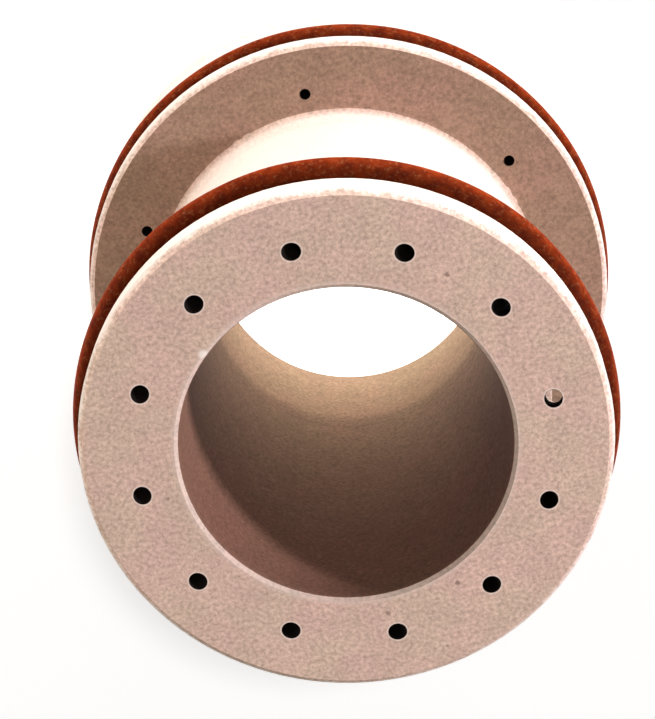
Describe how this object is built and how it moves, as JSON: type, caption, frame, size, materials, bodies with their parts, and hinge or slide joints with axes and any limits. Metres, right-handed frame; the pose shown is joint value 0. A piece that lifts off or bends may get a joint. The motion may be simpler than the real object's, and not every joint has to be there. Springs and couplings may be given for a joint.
{
  "type": "plasma swirl ring",
  "caption": "Flanged ceramic spool with a straight bore, canted gas holes through its front flange and an O-ring in each flange.",
  "frame": {"origin": "centre of the rear end, on the surface that the ring stands on", "axes": "+Z along the bore axis, from the rear end to the drilled front face; +X through the mouth of the first swirl hole"},
  "size_m": [0.0298, 0.0298, 0.0302],
  "materials": {
    "lava_ceramic": "matte, machined",
    "red_rubber": "satin"
  },
  "bodies": {
    "root": {"swirl_ring_body": "lava_ceramic", "front_o_ring": "red_rubber", "rear_o_ring": "red_rubber"}
  },
  "joints": []
}
